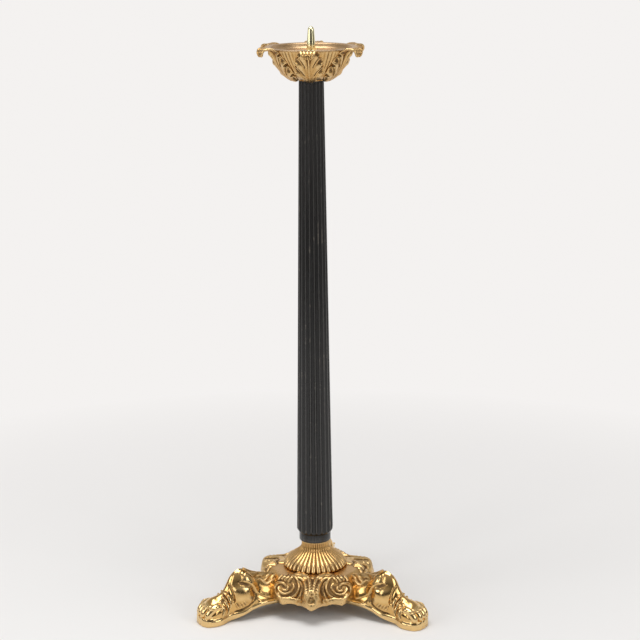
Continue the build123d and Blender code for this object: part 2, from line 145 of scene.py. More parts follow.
def bandRelief(across, down, bands):
    # raised bands drawn on a flat map: each follows a smooth line, is round across and thins to its ends;
    # where bands meet the highest wins, and a band of negative height is a groove
    raised, sunk = np.zeros(across.shape), np.zeros(across.shape)
    for line, width, height in bands:
        path = smoothLine(line, bandForm["samples"] * len(line))
        start, step = path[:-1], np.diff(path, axis=0)
        dx, dy = across[..., None] - start[:, 0], down[..., None] - start[:, 1]
        share = np.clip((dx * step[:, 0] + dy * step[:, 1]) / (step**2).sum(1), 0, 1)
        distance = np.hypot(dx - share * step[:, 0], dy - share * step[:, 1])
        near = distance.argmin(-1)[..., None]
        along = (near + np.take_along_axis(share, near, -1))[..., 0] / len(step)
        distance = np.take_along_axis(distance, near, -1)[..., 0]
        fullness = 4 * along * (1 - along) * bandForm["fullness"]
        taper = np.clip(fullness, bandForm["leastTaper"], 1) ** bandForm["taperPower"]
        section = np.clip(1 - (distance / (width * taper)) ** 2, 0, 1) ** bandForm["roundness"]
        rise = abs(height) * taper * section
        if height > 0:
            raised = np.maximum(raised, rise)
        else:
            sunk = np.maximum(sunk, rise)
    return raised - sunk


def tube(path, radii, columns):
    # rings square to a path that never runs along Y, with a radius for each
    tangent = np.gradient(path, axis=0)
    tangent /= np.linalg.norm(tangent, axis=1, keepdims=True)
    side = np.array([0.0, 1.0, 0.0]) - tangent * tangent[:, 1:2]
    side /= np.linalg.norm(side, axis=1, keepdims=True)
    upward = np.cross(tangent, side)
    angle = np.linspace(0, 2 * np.pi, columns, endpoint=False)
    ring = np.cos(angle)[None, :, None] * side[:, None] + np.sin(angle)[None, :, None] * upward[:, None]
    return skin(path[:, None] + radii[:, None, None] * ring)


fingerEnd = {"share": 0.12, "least": 0.02}


def finger(points, form):
    # a tube along a smooth line, with each end rounded off as a quarter circle over a share of its length
    line = smoothLine(np.column_stack([points, form["radii"]]), form["samples"])
    place = np.linspace(0, 1, form["samples"])
    share, least = fingerEnd["share"], fingerEnd["least"]
    start = np.clip(1 - (np.clip(share - place, 0, 1) / share) ** 2, least, 1)
    end = np.clip(1 - (np.clip(place - (1 - share), 0, 1) / share) ** 2, least, 1)
    return tube(line[:, :3], line[:, 3] * np.sqrt(start * end), form["columns"])


def swung(profile, columns, relief=None):
    # a profile of radius and height swung round the axis; relief gives a share of the radius for each angle
    # and height
    profile = np.asarray(profile, float)
    angle = np.linspace(0, 2 * np.pi, columns, endpoint=False)
    radius = np.repeat(profile[:, :1], columns, axis=1)
    if relief is not None:
        radius = radius * relief(angle[None, :], profile[:, 1:2])
    height = np.repeat(profile[:, 1:], columns, axis=1)
    return np.stack([radius * np.cos(angle), radius * np.sin(angle), height], -1)


def makePiece(name, shell, material, nodes, sharp=None, passes=10):
    # a shell in millimetres becomes a Blender object at the origin, standing for these CAD nodes
    vertices, faces = shell
    mesh = bpy.data.meshes.new(name)
    mesh.vertices.add(len(vertices))
    mesh.vertices.foreach_set("co", (vertices * millimetre).astype(np.float32).ravel())
    mesh.loops.add(faces.size)
    mesh.loops.foreach_set("vertex_index", faces.astype(np.int32).ravel())
    mesh.polygons.add(len(faces))
    mesh.polygons.foreach_set("loop_start", np.arange(0, faces.size, 3, dtype=np.int32))
    mesh.polygons.foreach_set("use_smooth", np.ones(len(faces), bool))
    mesh.update(calc_edges=True)
    mesh.validate()
    if sharp:
        mesh.set_sharp_from_angle(angle=math.radians(sharp))
    hollow = mesh.attributes.new("hollow", "FLOAT", "POINT")
    hollow.data.foreach_set("value", hollowness(vertices, faces, passes).astype(np.float32))
    mesh.materials.append(material)
    piece = bpy.data.objects.new(name, mesh)
    bpy.context.scene.collection.objects.link(piece)
    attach(piece, "root")
    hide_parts(*nodes)
    print("made", name, len(faces), "triangles")


def newFinish(name):
    # a material, its node tree and its main shader
    material = bpy.data.materials.new(name)
    material.use_nodes = True
    return material, material.node_tree, material.node_tree.nodes["Principled BSDF"]


def addNode(tree, kind, values=None, **settings):
    # a node with its settings, and with values in the inputs that nothing is linked to
    node = tree.nodes.new(kind)
    for key, value in settings.items():
        setattr(node, key, value)
    for key, value in (values or {}).items():
        node.inputs[key].default_value = value
    return node


def addMix(tree, share, first, second):
    # a mix of two colours; a tuple is a fixed colour and anything else is a socket
    node = addNode(tree, "ShaderNodeMix", data_type="RGBA")
    tree.links.new(share, node.inputs[0])
    for index, value in ((6, first), (7, second)):
        if isinstance(value, tuple):
            node.inputs[index].default_value = (*value, 1)
        else:
            tree.links.new(value, node.inputs[index])
    return node.outputs[2]


def addRange(tree, value, low, high, toLow=0.0, toHigh=1.0):
    # low and high become toLow and toHigh, in a straight line between and held level outside
    node = addNode(tree, "ShaderNodeMapRange",
                   {"From Min": low, "From Max": high, "To Min": toLow, "To Max": toHigh}, clamp=True)
    tree.links.new(value, node.inputs["Value"])
    return node.outputs["Result"]


def addMath(tree, operation, first, second):
    # one operation on two values; a float is fixed and anything else is a socket
    node = addNode(tree, "ShaderNodeMath", operation=operation)
    for index, value in ((0, first), (1, second)):
        if isinstance(value, float):
            node.inputs[index].default_value = value
        else:
            tree.links.new(value, node.inputs[index])
    return node.outputs[0]


def addNoise(tree, place, values):
    # a cloud of noise over the place
    noise = addNode(tree, "ShaderNodeTexNoise", values)
    tree.links.new(place, noise.inputs["Vector"])
    return noise.outputs["Fac"]


def addBump(tree, height, strength, distance, under=None):
    # a bump in the surface, laid over another one where that is given
    bump = addNode(tree, "ShaderNodeBump", {"Strength": strength, "Distance": distance})
    tree.links.new(height, bump.inputs["Height"])
    if under is not None:
        tree.links.new(under, bump.inputs["Normal"])
    return bump.outputs["Normal"]


castLook = {
    "cloudDetail": 5.0, "cloudRoughness": 0.6, "grainDetail": 3.0, "warmPatches": (0.3, 0.7),
    "tarnishPatches": (0.38, 0.68, -0.25, 0.3), "grainRoughness": (0.3, 0.7, -0.03, 0.04),
    "wornAndHighlightShare": 0.5, "patinaMetallic": 0.82, "rippleDepth": 0.0004, "stippleDepth": 0.0003,
}
polishedLook = {
    "metal": (0.76, 0.475, 0.175), "warm": (0.64, 0.385, 0.135), "patina": (0.15, 0.085, 0.036),
    "wornAndHighlight": (0.93, 0.71, 0.37), "roughness": 0.15, "patinaRoughness": 0.42, "tarnish": 0.50,
    "recessStart": 0.04, "recessFull": 0.45, "cloudScale": 38.0, "grainScale": 420.0,
    "ripple": 0.10, "stipple": 0.05,
}
chasedLook = {
    "metal": (0.63, 0.375, 0.135), "warm": (0.52, 0.30, 0.102), "patina": (0.165, 0.092, 0.036),
    "wornAndHighlight": (0.90, 0.67, 0.34), "roughness": 0.29, "patinaRoughness": 0.5, "tarnish": 0.7,
    "recessStart": 0.02, "recessFull": 0.30, "cloudScale": 60.0, "grainScale": 620.0,
    "ripple": 0.20, "stipple": 0.06,
}


def brassFinish(name, look):
    # cast brass: ridges painted a paler brass, partly worn metal and partly a painted highlight; brown patina
    # in recesses, with soft cloudy tarnish, casting ripple and stipple; recesses and ridges come from the
    # mesh's own hollow attribute
    look = {**castLook, **look}
    material, tree, shader = newFinish(name)
    place = addNode(tree, "ShaderNodeTexCoord").outputs["Object"]
    hollow = addNode(tree, "ShaderNodeAttribute", attribute_name="hollow").outputs["Fac"]
    cloud = addNoise(tree, place, {"Scale": look["cloudScale"], "Detail": look["cloudDetail"],
                                   "Roughness": look["cloudRoughness"]})
    grain = addNoise(tree, place, {"Scale": look["grainScale"], "Detail": look["grainDetail"]})
    recess = addRange(tree, hollow, look["recessStart"], look["recessFull"])
    ridge = addRange(tree, hollow, -look["recessStart"], -look["recessFull"])
    tarnish = addMath(tree, "MULTIPLY", addRange(tree, cloud, *look["tarnishPatches"]), look["tarnish"])
    grime = addRange(tree, addMath(tree, "ADD", recess, tarnish), 0.0, 1.0)
    tint = addMix(tree, addRange(tree, cloud, *look["warmPatches"]), look["metal"], look["warm"])
    tint = addMix(tree, grime, tint, look["patina"])
    # ridges are mixed towards pale brass: partly real wear, partly a painted highlight
    tint = addMix(tree, addMath(tree, "MULTIPLY", ridge, look["wornAndHighlightShare"]), tint, look["wornAndHighlight"])
    metallic = addRange(tree, grime, 0.0, 1.0, 1.0, look["patinaMetallic"])
    rough = addRange(tree, grime, 0.0, 1.0, look["roughness"], look["patinaRoughness"])
    rough = addMath(tree, "ADD", rough, addRange(tree, grain, *look["grainRoughness"]))
    ripple = addBump(tree, cloud, look["ripple"], look["rippleDepth"])
    normal = addBump(tree, grain, look["stipple"], look["stippleDepth"], ripple)
    sockets = {"Base Color": tint, "Metallic": metallic, "Roughness": rough, "Normal": normal}
    for inputName, socket in sockets.items():
        tree.links.new(socket, shader.inputs[inputName])
    return material


polishedBrass = brassFinish("polished brass", polishedLook)
chasedBrass = brassFinish("chased brass", chasedLook)

bronzeLook = {
    "black": (0.0045, 0.0043, 0.0042), "grey": (0.050, 0.048, 0.046), "rubbed": (0.17, 0.15, 0.125),
    "streakStretch": (260.0, 260.0, 9.0), "streakNoise": {"Scale": 1.0, "Detail": 5.0, "Roughness": 0.65},
    "spotNoise": {"Scale": 55.0, "Detail": 7.0, "Roughness": 0.7}, "streakGrey": (0.35, 0.75, 0.0, 0.16),
    "landHollow": (-0.02, -0.16), "landHighlightGrey": 0.85, "rubbedSpots": (0.56, 0.72),
    "headGreying": (0.40, 0.62, 0.0, 0.45), "streakRoughness": (0.3, 0.7, 0.21, 0.30), "specular": 0.50,
    "streakBump": 0.12, "streakDepth": 0.0003,
}


def bronzeFinish(look):
    # satin black over bronze: soft streaks along the flutes, a painted grey highlight on the raised lands,
    # greyer towards the head, and a few rubbed marks where spots of noise meet the lands
    material, tree, shader = newFinish("black bronze")
    place = addNode(tree, "ShaderNodeTexCoord").outputs["Object"]
    hollow = addNode(tree, "ShaderNodeAttribute", attribute_name="hollow").outputs["Fac"]
    stretch = addNode(tree, "ShaderNodeMapping", {"Scale": look["streakStretch"]})
    tree.links.new(place, stretch.inputs["Vector"])
    streak = addNoise(tree, stretch.outputs["Vector"], look["streakNoise"])
    spots = addRange(tree, addNoise(tree, place, look["spotNoise"]), *look["rubbedSpots"])
    land = addRange(tree, hollow, *look["landHollow"])
    level = addNode(tree, "ShaderNodeSeparateXYZ")
    tree.links.new(place, level.inputs[0])
    towardsHead = addRange(tree, level.outputs["Z"], *look["headGreying"])
    tint = addMix(tree, addRange(tree, streak, *look["streakGrey"]), look["black"], look["grey"])
    # painted highlight: the raised lands are mixed towards grey
    tint = addMix(tree, addMath(tree, "MULTIPLY", land, look["landHighlightGrey"]), tint, look["grey"])
    tint = addMix(tree, addMath(tree, "MULTIPLY", land, spots), tint, look["rubbed"])
    # the column is mixed towards grey over its upper part
    tint = addMix(tree, towardsHead, tint, look["grey"])
    tree.links.new(tint, shader.inputs["Base Color"])
    tree.links.new(addRange(tree, streak, *look["streakRoughness"]), shader.inputs["Roughness"])
    tree.links.new(addBump(tree, streak, look["streakBump"], look["streakDepth"]), shader.inputs["Normal"])
    shader.inputs["Metallic"].default_value = 0.0
    shader.inputs["Specular IOR Level"].default_value = look["specular"]
    return material


blackBronze = bronzeFinish(bronzeLook)

turnedLook = {
    "cloud": {"Scale": 70.0, "Detail": 5.0, "Roughness": 0.6}, "dullPatches": (0.35, 0.65),
    "smoother": 0.03, "rougher": 0.04, "ringDepth": 0.0002,
}
spunLook = {"metal": (0.54, 0.37, 0.21), "dull": (0.44, 0.29, 0.155), "roughness": 0.42, "ringScale": 260.0,
            "ringBump": 0.03}
paleLook = {"metal": (0.86, 0.80, 0.50), "dull": (0.76, 0.69, 0.40), "roughness": 0.12, "ringScale": 90.0,
            "ringBump": 0.0}
zincLook = {"metal": (0.62, 0.61, 0.58), "dull": (0.45, 0.43, 0.40), "roughness": 0.36, "ringScale": 300.0,
            "ringBump": 0.08}


def turnedFinish(name, look):
    # lathe-turned metal: fine rings about the axis in the bump and roughness, and a faint cloudy tone
    look = {**turnedLook, **look}
    material, tree, shader = newFinish(name)
    place = addNode(tree, "ShaderNodeTexCoord").outputs["Object"]
    wave = addNode(tree, "ShaderNodeTexWave", {"Scale": look["ringScale"], "Distortion": 0.0, "Detail": 0.0},
                   wave_type="RINGS", rings_direction="Z", wave_profile="SIN")
    tree.links.new(place, wave.inputs["Vector"])
    rings = wave.outputs["Fac"]
    dullness = addRange(tree, addNoise(tree, place, look["cloud"]), *look["dullPatches"])
    smooth, coarse = look["roughness"] - look["smoother"], look["roughness"] + look["rougher"]
    rough = addRange(tree, rings, 0.0, 1.0, smooth, coarse)
    tree.links.new(addMix(tree, dullness, look["metal"], look["dull"]), shader.inputs["Base Color"])
    tree.links.new(rough, shader.inputs["Roughness"])
    tree.links.new(addBump(tree, rings, look["ringBump"], look["ringDepth"]), shader.inputs["Normal"])
    shader.inputs["Metallic"].default_value = 1.0
    return material


spunBrass = turnedFinish("spun brass", spunLook)
paleBrass = turnedFinish("pale brass", paleLook)
zincSteel = turnedFinish("zinc steel", zincLook)
print("finishes mixed")


columnShape = {
    "foot": 81.7, "head": 638.8, "neckRadius": 18.9, "neckTop": 91.7, "landFoot": 96.3,
    "footRadius": 21.7, "headRadius": 14.5, "footEdge": 1.4, "footEdgeStart": 0.1,
    "flutes": 20, "firstLand": 9.0, "fluteShare": 0.74, "fluteDepth": 1.9, "fluteColumns": 22,
    # rows of the grid: heights over the foot, the cone and the shaft with their margins, and depths under
    # the head
    "footRows": [0.0, 0.15, 0.5, 1.0, 1.5, 4.0, 8.0], "coneRows": 30, "coneMargins": (0.6, 1.6),
    "shaftRows": 60, "shaftMargins": (3.0, 9.0), "headRows": [5.0, 3.0, 2.0, 1.2, 0.8, 0.4, 0.2, 0.0],
}


def buildColumn(shape):
    # radius over angle and height: the tapered land radius less a round hollow for each flute, cut back near
    # the foot by the cone that leads to the plain neck, whose lower edge is a quarter circle
    foot, head, landFoot, neckTop = shape["foot"], shape["head"], shape["landFoot"], shape["neckTop"]
    neck, wide, edge = shape["neckRadius"], shape["footRadius"], shape["footEdge"]
    below, above = shape["coneMargins"]
    lower, upper = shape["shaftMargins"]
    height = np.concatenate([foot + np.array(shape["footRows"]),
                             np.linspace(neckTop - below, landFoot + above, shape["coneRows"]),
                             np.linspace(landFoot + lower, head - upper, shape["shaftRows"]),
                             head - np.array(shape["headRows"])])[:, None]
    angle = np.linspace(0, 360, shape["flutes"] * shape["fluteColumns"], endpoint=False)[None, :]
    land = wide + (shape["headRadius"] - wide) * (height - landFoot) / (head - landFoot)
    pitch = 360 / shape["flutes"]
    offset = (angle - shape["firstLand"]) % pitch - pitch / 2
    across = np.clip(1 - (2 * offset / (pitch * shape["fluteShare"])) ** 2, 0, 1)
    fluted = land - shape["fluteDepth"] * land / wide * np.sqrt(across)
    cone = neck + (wide - neck) * (height - neckTop) / (landFoot - neckTop)
    under = np.clip(edge + shape["footEdgeStart"] - (height - foot), 0, edge)
    rounded = neck - edge + np.sqrt(np.clip(edge**2 - under**2, 0, None))
    radius = np.minimum(fluted, np.maximum(cone, np.minimum(neck, rounded)))
    turn = np.radians(angle)
    return skin(np.stack([radius * np.cos(turn), radius * np.sin(turn), height + 0 * angle], -1))


makePiece("column_shaft", buildColumn(columnShape), blackBronze, ["column"],
          sharp=38, passes=6)


# profiles are points of radius and height
collarShape = {
    "bell": [(16.5, 81.7), (16.3, 78.0), (16.9, 74.0), (19.4, 70.2), (24.4, 66.2), (30.0, 62.4), (34.6, 58.6),
             (37.4, 54.6), (38.2, 51.9), (37.9, 50.9)],
    "ledge": 50.55,
    "foot": [(36.6, 50.55), (33.0, 50.5), (33.0, 49.5), (6.0, 49.5)],
    "bellRows": 84, "gadroons": 36, "gadroonColumns": 14, "bellEnd": 50.7, "ledgeWithin": 0.02,
    "depth": 0.075, "valleyPower": 0.55, "flankDepth": 0.006, "headShare": 0.85, "fading": (81.5, 68.0),
    "beadHeight": 0.016, "beadLevel": 52.2, "beadWidth": 1.5,
}


def buildCollar(shape):
    # bell profile swung round the axis; each gadroon is a round lobe between narrow valleys, which grow
    # shallower towards the neck, and swells to a bead at the rim; depths are shares of the radius
    profile = np.vstack([smoothLine(shape["bell"], shape["bellRows"]), shape["foot"]])

    def relief(angle, height):
        lobe = np.abs(np.cos(angle * shape["gadroons"] / 2))
        valley = 1 - lobe ** shape["valleyPower"]
        rising = shape["headShare"] + (1 - shape["headShare"]) * smoothStep(*shape["fading"], height)
        depth = shape["depth"] * rising * valley + shape["flankDepth"] * (1 - lobe)
        bead = shape["beadHeight"] * np.exp(-((height - shape["beadLevel"]) / shape["beadWidth"]) ** 2) * lobe
        onBell = height > shape["bellEnd"]
        onLedge = np.abs(height - shape["ledge"]) < shape["ledgeWithin"]
        return 1 - onBell * depth + onBell * bead - onLedge * shape["depth"] * valley
    return skin(swung(profile, shape["gadroons"] * shape["gadroonColumns"], relief))


makePiece("gadrooned_collar", buildCollar(collarShape), chasedBrass, ["collar"], passes=8)


panShape = {
    "inside": [(5.5, 670.4), (20.0, 670.4), (40.0, 670.45), (44.4, 672.0), (46.0, 675.0), (46.5, 676.1),
               (47.6, 676.9), (50.0, 677.0), (52.4, 677.0)],
    "edge": [(52.6, 677.0), (53.05, 676.7), (53.05, 676.1), (52.6, 675.8)],
    "outside": [(52.3, 675.8), (48.6, 675.8), (47.2, 675.0), (47.1, 674.8), (45.3, 671.2), (40.0, 669.2),
                (20.0, 669.2), (5.5, 669.2)],
    "insideRows": 90, "edgeRows": 12, "outsideRows": 60, "columns": 144,
}


def buildPan(shape):
    # a dish in section, swung round the axis: flat floor, round corner, upright wall and a flat lip with a
    # rolled edge, of one thickness, with a hole for the spike
    lines = [smoothLine(shape[part], shape[part + "Rows"]) for part in ("inside", "edge", "outside")]
    profile = np.vstack(lines)
    return skin(swung(profile, shape["columns"]), closeRows=True)


makePiece("spun_drip_pan", buildPan(panShape), spunBrass, ["drip_pan"], sharp=50)


spikeShape = {
    "flange": [(7.4, 670.42), (8.0, 670.65), (8.0, 671.7), (7.7, 672.0), (5.95, 672.0), (5.35, 672.2)],
    "shank": [(5.15, 672.7), (4.7, 682.0), (3.75, 695.6)],
    "point": [(3.65, 696.6), (3.2, 697.9), (2.1, 699.1), (1.0, 699.75), (0.15, 700.0)],
    "shankRows": 20, "pointRows": 16, "columns": 72,
}


def buildSpike(shape):
    # flange, tapered shank and a rounded point, swung round the axis
    profile = np.vstack([shape["flange"], smoothLine(shape["shank"], shape["shankRows"]),
                         smoothLine(shape["point"], shape["pointRows"])])
    return skin(swung(profile, shape["columns"]))


makePiece("pricket_spike", buildSpike(spikeShape), paleBrass, ["pricket"], sharp=40)


cupShape = {
    "foot": 638.8, "leaves": 6, "firstLeaf": -90,
    "outer": [(15.6, 638.8), (15.6, 640.2), (19.0, 640.5), (24.6, 642.8), (29.8, 646.6), (35.0, 652.4),
              (40.2, 659.4), (45.0, 666.4), (50.0, 675.4)],
    "rim": [(50.4, 675.5), (47.8, 675.5)],
    "inner": [(48.2, 675.0), (46.1, 670.6), (42.8, 665.6), (38.0, 659.4), (33.0, 653.8), (28.0, 649.4),
              (23.4, 646.2), (18.6, 644.2), (13.0, 643.6)],
    "boss": [(13.0, 668.0), (12.2, 669.0), (4.0, 669.1)],
    "spigot": [(4.0, 630.0), (8.2, 630.0), (8.3, 638.8)],
    "outerRows": 46, "innerRows": 18, "columns": 396,
    "ribs": 34, "ribHeight": 0.022, "ribPower": 0.6, "ribLevel": 0.55, "ribGap": 10.5,
    "ribStart": (641.5, 648.0), "ribEnd": (676.0, 672.0),
}
# a leaf's path gives reach, rise over the cup's foot and half width; its notches are places along that path,
# and its blades are bands on a map of distance from the midrib and place along the path
cupLeafShape = {
    "path": [(18.6, 1.4, 5.0), (23.6, 3.0, 9.0), (28.6, 6.2, 13.0), (33.6, 11.4, 16.0), (38.6, 18.2, 17.5),
             (43.2, 25.8, 17.0), (47.4, 32.8, 14.5), (52.2, 36.3, 12.0), (57.4, 37.0, 10.5),
             (61.4, 36.6, 9.6),
             (63.2, 34.6, 8.0), (63.1, 32.0, 6.2), (62.2, 30.0, 3.4)],
    "rows": 106, "frontColumns": 73, "backColumns": 35, "leastReach": 20.0,
    "thickness": 1.2, "bladeFoot": 0.5, "edgeShare": 0.14,
    "notches": [15.0, 30.0, 43.0], "notchWidth": 2.0, "notchDepth": 0.22,
    "standing": 1.3, "standStart": (6.0, 16.0), "standEnd": (50.0, 42.0),
    "lipStart": (50.0, 56.0), "lipDroop": 0.7, "lipSmoothing": 0.6,
    "lipRibs": 5, "lipRib": 0.9, "lipRibPower": 0.7,
    "blades": [
        ([(0.6, 0.0), (2.6, 6.0), (6.6, 13.4), (14.6, 20.6)], 4.6, 2.5),
        ([(0.6, 4.0), (3.0, 15.0), (8.0, 26.0), (16.2, 34.6)], 5.0, 2.9),
        ([(0.6, 12.0), (2.8, 26.0), (7.0, 37.6), (13.8, 46.8)], 4.6, 2.6),
        ([(0.0, 0.0), (0.0, 26.0), (0.0, 56.0)], 1.5, 3.0),
        ([(4.4, 15.0), (8.6, 22.6), (14.2, 29.6)], 0.9, -1.2),
        ([(3.8, 27.0), (7.4, 35.4), (12.2, 42.6)], 0.9, -1.2),
    ],
}


def buildCup(shape):
    # bowl, boss and spigot: a profile swung round the axis, with upright ribs outside in the leaves' gaps
    outer = smoothLine(shape["outer"], shape["outerRows"])
    inner = smoothLine(shape["inner"], shape["innerRows"])
    profile = np.vstack([outer, shape["rim"], inner, shape["boss"], shape["spigot"]])
    pitch = 360 / shape["leaves"]

    def ribs(angle, height):
        gap = (np.degrees(angle) - shape["firstLeaf"]) % pitch - pitch / 2
        fade = np.exp(-(gap / shape["ribGap"]) ** 4)
        fade = fade * smoothStep(*shape["ribStart"], height) * smoothStep(*shape["ribEnd"], height)
        rib = np.abs(np.cos(np.radians(gap) * shape["ribs"])) ** shape["ribPower"] - shape["ribLevel"]
        return 1 + shape["ribHeight"] * fade * rib
    points = swung(profile, shape["columns"], ribs)
    plain = swung(profile, shape["columns"])
    points[len(outer):] = plain[len(outer):]
    return skin(points, closeRows=True)


def buildCupLeaf(leaf, foot, turn):
    # rows follow the path up the bowl and columns run round the axis from edge to edge; the front carries the
    # blades, the edge is notched between them and stands off the bowl by the cube of its share, and the tip
    # rolls over into a lip with ribs beneath
    path = smoothLine(leaf["path"], leaf["rows"])
    reach, rise, half = path[:, 0], path[:, 1], path[:, 2]
    length = np.concatenate([[0], np.cumsum(np.hypot(np.diff(reach), np.diff(rise)))])
    notch = sum(np.exp(-((length - place) / leaf["notchWidth"]) ** 2) for place in leaf["notches"])
    lip = smoothStep(*leaf["lipStart"], reach)[:, None]
    middle = (smoothStep(*leaf["standStart"], length) * smoothStep(*leaf["standEnd"], length))[:, None]
    heading = np.stack([np.gradient(reach), np.gradient(rise)], -1)
    heading /= np.linalg.norm(heading, axis=1, keepdims=True)
    outward = np.stack([heading[:, 1], -heading[:, 0]], -1)

    def spread(columns):
        across = np.linspace(-1, 1, columns)[None, :]
        beside = across * (half * (1 - leaf["notchDepth"] * notch))[:, None]
        stand = leaf["standing"] * np.abs(across) ** 3 * middle - leaf["lipDroop"] * lip * np.abs(across) ** 2
        return across, beside, stand

    def sheet(beside, offset):
        angle = np.radians(turn) + beside / np.maximum(reach, leaf["leastReach"])[:, None]
        radius = reach[:, None] + outward[:, :1] * offset
        height = foot + rise[:, None] + outward[:, 1:] * offset
        return np.stack([radius * np.cos(angle), radius * np.sin(angle), height], -1)
    across, beside, stand = spread(leaf["frontColumns"])
    relief = bandRelief(np.abs(beside), length[:, None] + 0 * beside, leaf["blades"])
    face = (leaf["bladeFoot"] + relief * (1 - leaf["lipSmoothing"] * lip))
    front = sheet(beside, stand + face * smoothStep(0.0, leaf["edgeShare"], 1 - np.abs(across)))
    across, beside, stand = spread(leaf["backColumns"])
    ribs = leaf["lipRib"] * lip * np.abs(np.cos(leaf["lipRibs"] / 2 * np.pi * across)) ** leaf["lipRibPower"]
    back = sheet(beside, stand - leaf["thickness"] - ribs)
    return skin(np.concatenate([front, back[:, ::-1]], axis=1))


leafTurns = [360 / cupShape["leaves"] * k for k in range(cupShape["leaves"])]
cupLeaf = buildCupLeaf(cupLeafShape, cupShape["foot"], cupShape["firstLeaf"])
cupParts = joined([buildCup(cupShape), copied(cupLeaf, leafTurns)])
makePiece("acanthus_cup_cast", cupParts, chasedBrass, ["acanthus_cup"], passes=5)


# the outline gives one half of a lobe and of the edge beside it, with the lobe along +Y; scroll and centre
# bands are drawn on a map as seen from the front, a little from above
plateShape = {
    "columns": 168, "innerRows": 20, "outerRows": 80, "startRadius": 26.0, "lobeTurns": (270, 30, 150),
    "topLevel": 49.5, "deck": 41.0, "skirtLow": 20.2, "skirtTop": 28.8, "skirtSwell": 0.9,
    "skirtRows": [0.16, 0.34, 0.5, 0.66, 0.82, 0.93, 1.0], "scallop": 1.9, "scallopWidth": 15.0,
    "outline": [(-1, 80.0), (1, 80.0), (5, 77.4), (9.5, 72.5), (14, 67.5), (18.5, 63.6), (24, 62.8),
                (30, 62.6),
                (36, 61.4), (41, 57.6), (45.5, 51.4), (48.5, 43), (50.5, 34), (51, 29.5), (51.5, 25)],
    "outlineSamples": 400,
    "hub": {"lobeReach": 45.0, "legReach": 52.0, "corner": 4.0, "slope": 0.85, "slopeStart": (-1.0, 6.0),
            "bend": 0.038},
    "lobe": {"level": 49.6, "fall": 8.6, "start": 38.0, "fallPower": 1.4, "tip": 72.0, "tipPower": 1.3,
             "halfWidth": 10.5, "widening": 6.0, "wideStart": (62.0, 42.0),
             "sideFall": 10.0, "sidePower": 3.6,
             "lowest": -50.0, "corner": 2.5},
    # under the casting: distance in from the edge with a rise or a level, then radii on the deck and the bore
    "underEdge": [(0.8, 0.0), (1.6, 0.0), (2.9, 0.0), (4.2, 0.1), (4.4, 1.5), (4.8, 6.0)],
    "hollow": [(9.5, 33.0), (14.5, 40.4), (16.0, 41.0)], "hollowRadius": 41.0,
    "deckRadii": (30.0, 9.0), "boreRadii": (9.0, 20.0),
    "mapSlopes": (0.936, 0.352), "mapCentre": (45.0, 49.0),
    "scrolls": [
        ([(-24.4, -2.7), (-14.6, -3.4), (-6.1, 0.3), (-2.4, 8.7), (-2.6, 18.3), (-6.4, 27.9)], 2.2, 2.3),
        ([(-21.9, -0.4), (-13.4, 2.1), (-8.0, 8.7), (-7.6, 18.3), (-12.2, 28.6)], 2.0, 2.0),
        ([(-20.7, 2.7), (-14.8, 6.5), (-12.4, 13.5), (-14.6, 21.9), (-20.7, 29.6)], 1.9, 1.8),
        ([(-28.0, -3.0), (-20.5, 0.8), (-17.0, 6.5), (-16.2, 13.3), (-20.0, 20.6), (-29.2, 25.4),
          (-39.1, 24.2),
          (-45.2, 19.3), (-46.0, 12.6), (-42.0, 7.6), (-36.3, 6.9), (-32.4, 9.9), (-33.0, 13.6)], 1.9, 2.6),
        ([(-40.3, 10.6), (-40.9, 14.5), (-37.3, 18.6), (-31.2, 19.5), (-25.6, 16.5), (-22.4, 11.1),
          (-24.6, 6.3)],
         1.3, 1.9),
        ([(-36.0, 13.0), (-34.4, 15.4), (-31.0, 15.0), (-29.4, 12.0), (-31.0, 9.6)], 1.7, 2.2),
        ([(-38.0, 3.6), (-34.0, -0.2), (-30.0, -3.0)], 1.4, 1.5),
        ([(-34.2, 4.8), (-30.4, 0.8), (-26.6, -2.2)], 1.4, 1.6),
        ([(-30.0, 5.8), (-27.0, 2.2), (-23.6, -0.6)], 1.4, 1.6),
        ([(-42.0, 4.6), (-40.0, 0.4), (-36.6, -2.6)], 1.3, 1.3),
        ([(-24.8, 29.8), (-22.6, 25.0), (-19.0, 21.4)], 1.5, 1.4),
        ([(-17.0, 31.4), (-13.8, 26.0), (-11.2, 20.6)], 1.5, 1.4),
    ],
    "centre": [
        ([(0, 11.0), (0, 19.5)], 2.4, 1.3),
        ([(-6.6, 22.6), (-3.4, 20.8), (0, 21.8), (3.4, 20.8), (6.6, 22.6)], 1.5, 1.3),
        ([(0, 24.0), (0, 31.5)], 6.2, 1.1),
        ([(0, 33.5), (0, 39.5)], 9.5, 0.9),
    ],
    "veins": {"height": 0.35, "pitch": 5.5, "slant": 1.1, "start": (54.0, 60.0), "end": (79.0, 76.0),
              "side": (9.5, 7.0)},
    "reliefSide": (52.0, 44.0), "reliefFoot": (1.05, 0.75), "reliefShift": 0.06,
}


